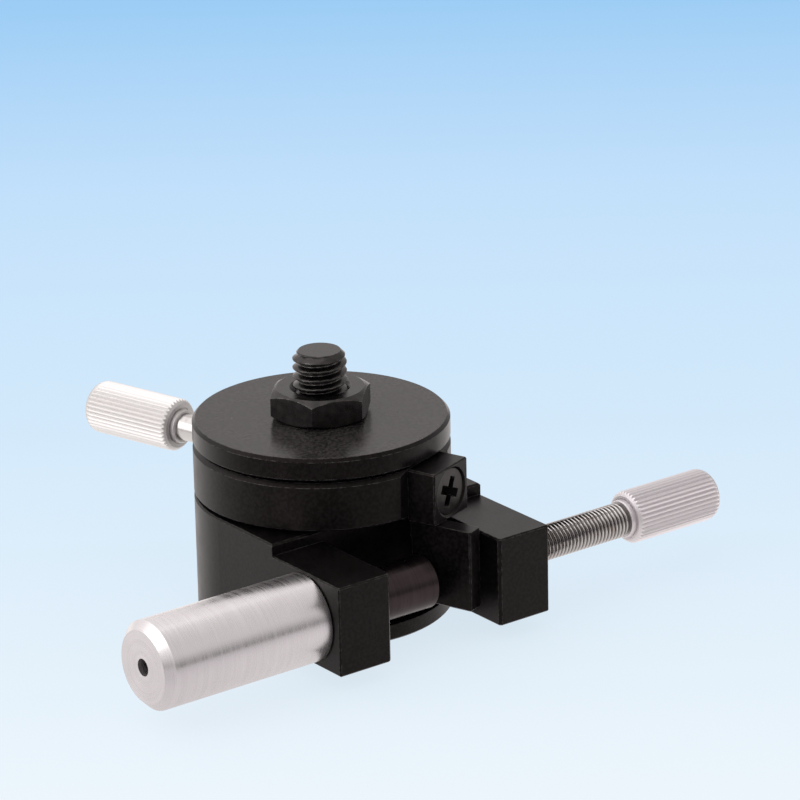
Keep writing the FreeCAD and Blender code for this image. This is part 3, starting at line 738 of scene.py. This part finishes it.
def knurled_knob(name, start, axis, hub_r, finish, body, node):
    """Knob turned from its outline, with its knurl, pointing along axis."""
    shoulder_r = knob_r - knob_edge
    crown_r = knob_r - knob_round
    crown_start = knob_length - knob_round
    outline = ([(bore_r, bore_end, 0), (bore_r, -knob_hub_length, 0),
                (hub_r - hub_break, -knob_hub_length, 0), (hub_r, hub_break - knob_hub_length, 0),
                (hub_r, face_groove, 0), (hub_r + groove_floor, face_groove, 0), (hub_r + groove_rim, 0.0, 0),
                (shoulder_r, 0.0, 0)]
               + [(shoulder_r + knob_edge * i / edge_steps, knob_edge * i / edge_steps, 1)
                  for i in range(3, edge_steps + 1)]
               + [(knob_r, knob_length * i / side_steps, 1) for i in range(1, 8)]
               + [(crown_r + knob_round * math.cos(math.pi / 2 * i / round_steps),
                   crown_start + knob_round * math.sin(math.pi / 2 * i / round_steps), 1)
                  for i in range(round_steps + 1)]
               + [(0, knob_length, 0), (0, bore_end, 0), (bore_r, bore_end, 0)])
    knob = made_plain(name, outline_mesh(name + " outline", outline), turning_tree,
                      {"Steps": knurl_ridges * steps_per_ridge, "Starts": float(knurl_ridges),
                       "Ridges per metre": 0.0, "Crest radius": knob_r * mm, "Depth": knurl_depth * mm,
                       "Flat": 0.16, "Finish": finish}, stand_at(start, axis))
    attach(knob, body)
    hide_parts(node)


fine_hub_r = 2.15
fine_knob_start = ((fine_hub_x + knob_hub_length) * mm, screw_axis[0][1], screw_axis[0][2])
fine_knob_finish = knurled_aluminium("fine knob aluminium", (0.95, 0.91, 0.93), screw_axis)
knurled_knob("knurled_fine_knob", fine_knob_start, (1, 0, 0), fine_hub_r, fine_knob_finish,
             "fine_drive", "fine_knob")
lock_hub_r = 1.90
lock_turn = math.radians(106.1)
lock_height = 16.2 * mm
lock_way = (math.cos(lock_turn), math.sin(lock_turn), 0)
lock_axis = ((0, 0, lock_height), lock_way)
lock_knob_reach = 19.84
lock_knob_start = (lock_knob_reach * mm * lock_way[0], lock_knob_reach * mm * lock_way[1], lock_height)
lock_knob_finish = knurled_aluminium("lock knob aluminium", (0.86, 0.84, 0.83), lock_axis)
knurled_knob("knurled_lock_knob", lock_knob_start, lock_way, lock_hub_r, lock_knob_finish,
             "lock_drive", "lock_knob")

# The lock screw is a headless M3 screw that presses a brass pad on the table's collar. Its
# thread is as long as its hole in the ring, and the neck out to the knob is plain.
lock_low = 9.27
lock_screw_r = 1.5
lock_tip_r = 1.2
lock_lead = 0.3
lock_thread = 4.5
lock_run_out = 0.1
lock_thread_depth = 0.25
lock_in_knob = 7.0
lock_length = lock_knob_reach - knob_hub_length + lock_in_knob - lock_low
lock_outline = ([(0, 0, 0), (lock_tip_r, 0, 0)]
                + threaded_run(lock_screw_r, lock_lead, lock_thread, fine_pitch / 10)
                + [(lock_screw_r, lock_thread + lock_run_out, 0), (lock_screw_r, lock_length, 0),
                   (0, lock_length, 0)])
lock_stand = stand_at((lock_low * mm * lock_way[0], lock_low * mm * lock_way[1], lock_height), lock_way)
lock_screw = made_plain("threaded_lock_screw", outline_mesh("lock screw outline", lock_outline), turning_tree,
                        {"Steps": 48, "Starts": 1.0, "Ridges per metre": 1 / (fine_pitch * mm),
                         "Crest radius": lock_screw_r * mm, "Depth": lock_thread_depth * mm, "Flat": 0.12,
                         "Finish": threaded_steel("lock thread steel", lock_axis, lock_screw_r)}, lock_stand)
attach(lock_screw, "lock_drive")
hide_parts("lock_screw")
dress("lock_pad", turned_metal("turned brass", (0.78, 0.56, 0.27), 0.28, lock_axis, 0.001 * mm))


# The lever is held by an M3 countersunk screw and the foot by three M2 ones. All four are
# black oxide steel with a cross recess whose flutes narrow towards the bottom. The faces
# inside each recess carry painted shade, a much darker black.
def joined(tree, operation, first, second):
    """Mesh from a Boolean of two meshes."""
    sockets = {0: first} if operation == "DIFFERENCE" else {1: first}
    whole = add_node(tree, "GeometryNodeMeshBoolean", sockets, operation=operation, solver="EXACT")
    tree.links.new(second, whole.inputs[1])
    return whole.outputs[0]


def cross_screws():
    """Tree that puts a countersunk cross recess screw at each point, pointing along +Z."""
    tree, given = start_tree("cross recess screws", {
        "Geometry": ["Places"],
        "Float": ["Head radius", "Shank radius", "Length", "Recess reach", "Recess width", "Recess depth"],
        "Material": ["Finish", "Recess painted shade"]}, "Screws")
    sink = reckon(tree, "SUBTRACT", given["Head radius"], given["Shank radius"])
    head = add_node(tree, "GeometryNodeMeshCone", {
        "Vertices": 64, "Radius Top": given["Shank radius"], "Radius Bottom": given["Head radius"],
        "Depth": sink}).outputs["Mesh"]
    shank_length = reckon(tree, "SUBTRACT", given["Length"], reckon(tree, "MULTIPLY", sink, 0.5))
    rod = add_node(tree, "GeometryNodeMeshCylinder", {
        "Vertices": 48, "Radius": given["Shank radius"], "Depth": shank_length}).outputs["Mesh"]
    middle = reckon(tree, "SUBTRACT", given["Length"], reckon(tree, "MULTIPLY", shank_length, 0.5))
    shank = add_node(tree, "GeometryNodeTransform", {"Geometry": rod, "Translation": combine(tree, z=middle)})
    whole = joined(tree, "UNION", head, shank.outputs[0])
    blade_size = combine(tree, reckon(tree, "MULTIPLY", given["Recess reach"], 2.0), given["Recess width"],
                         reckon(tree, "MULTIPLY", given["Recess depth"], 2.0))
    blade = add_node(tree, "GeometryNodeMeshCube", {"Size": blade_size}).outputs["Mesh"]
    crossed = add_node(tree, "GeometryNodeTransform", {"Geometry": blade, "Rotation": (0, 0, math.pi / 2)})
    cross = joined(tree, "UNION", blade, crossed.outputs[0])
    spot = add_node(tree, "GeometryNodeInputPosition").outputs[0]
    height = part(tree, spot, "Z")
    above = reckon(tree, "MULTIPLY", given["Recess depth"], -1.0)
    narrow = stretch(tree, height, above, given["Recess depth"], 1.6, 0.4)
    there = reckon_vectors(tree, "MULTIPLY", spot, combine(tree, narrow, narrow, 1.0))
    tapered = add_node(tree, "GeometryNodeSetPosition", {"Geometry": cross, "Position": there})
    screw = joined(tree, "DIFFERENCE", whole, tapered.outputs[0])
    coated = add_node(tree, "GeometryNodeSetMaterial", {"Geometry": screw, "Material": given["Finish"]})
    # Painted shade: faces inside the recess, within the head's cone and above the recess bottom, take the
    # much darker recess material.
    off_axis = reckon_vectors(tree, "LENGTH", reckon_vectors(tree, "MULTIPLY", spot, (1, 1, 0)))
    cone = reckon(tree, "SUBTRACT", reckon(tree, "SUBTRACT", given["Head radius"], height), 0.15 * mm)
    above_bottom = reckon(tree, "LESS_THAN", height, reckon(tree, "MULTIPLY", given["Recess depth"], 1.02))
    sunk = reckon(tree, "MULTIPLY", reckon(tree, "GREATER_THAN", height, 0.01 * mm), above_bottom)
    within = reckon(tree, "MULTIPLY", reckon(tree, "LESS_THAN", off_axis, cone), sunk)
    inside = add_node(tree, "GeometryNodeSetMaterial", {
        "Geometry": coated.outputs[0], "Selection": within, "Material": given["Recess painted shade"]})
    spread = add_node(tree, "GeometryNodeInstanceOnPoints",
                      {"Points": given["Places"], "Instance": inside.outputs[0]})
    real = add_node(tree, "GeometryNodeRealizeInstances", {"Geometry": spread.outputs[0]})
    add_node(tree, "NodeGroupOutput", {0: real.outputs[0]})
    return tree


def place_screws(name, places, sizes, stand, body, node):
    """Row of equal screws whose heads' faces are centred on the places."""
    start = bpy.data.meshes.new(name + " places")
    start.from_pydata(places, [], [])
    head_r, shank_r, length, reach, width, depth = (size * mm for size in sizes)
    screws = made_plain(name, start, screw_tree,
                        {"Head radius": head_r, "Shank radius": shank_r, "Length": length,
                         "Recess reach": reach, "Recess width": width, "Recess depth": depth,
                         "Finish": screw_oxide, "Recess painted shade": recess_painted_shade}, stand, 30)
    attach(screws, body)
    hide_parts(node)


screw_tree = cross_screws()
screw_oxide = black_oxide("screw black oxide", 0.060, 0.34)
# Painted shade for the recesses: the same black oxide at a much darker tone.
recess_painted_shade = black_oxide("recess painted shade oxide", 0.008, 0.55)
lever_screw_sizes = (2.57, 1.5, 7.8, 1.66, 0.98, 1.4)
swing = math.radians(19.7)
lever_screw_face = (0, -16.38 * mm, 15.9 * mm)
cross_turn = math.radians(24)
lever_stand = (Matrix.Rotation(swing, 4, "Z") @ Matrix.Translation(lever_screw_face)
               @ Matrix.Rotation(math.radians(-90), 4, "X") @ Matrix.Rotation(cross_turn, 4, "Z"))
place_screws("lever_cross_screw", [(0, 0, 0)], lever_screw_sizes, lever_stand, "ring", "lever_screw")
foot_screw_sizes = (1.9, 1.0, 5.5, 0.95, 0.42, 0.65)
foot_circle_r = 11.5 * mm
foot_screw_turns = [math.radians(turn) for turn in (90, 210, 330)]
foot_places = [(foot_circle_r * math.cos(turn), foot_circle_r * math.sin(turn), 0.02 * mm)
               for turn in foot_screw_turns]
place_screws("foot_cross_screws", foot_places, foot_screw_sizes, Matrix.Identity(4), "base", "foot_screws")
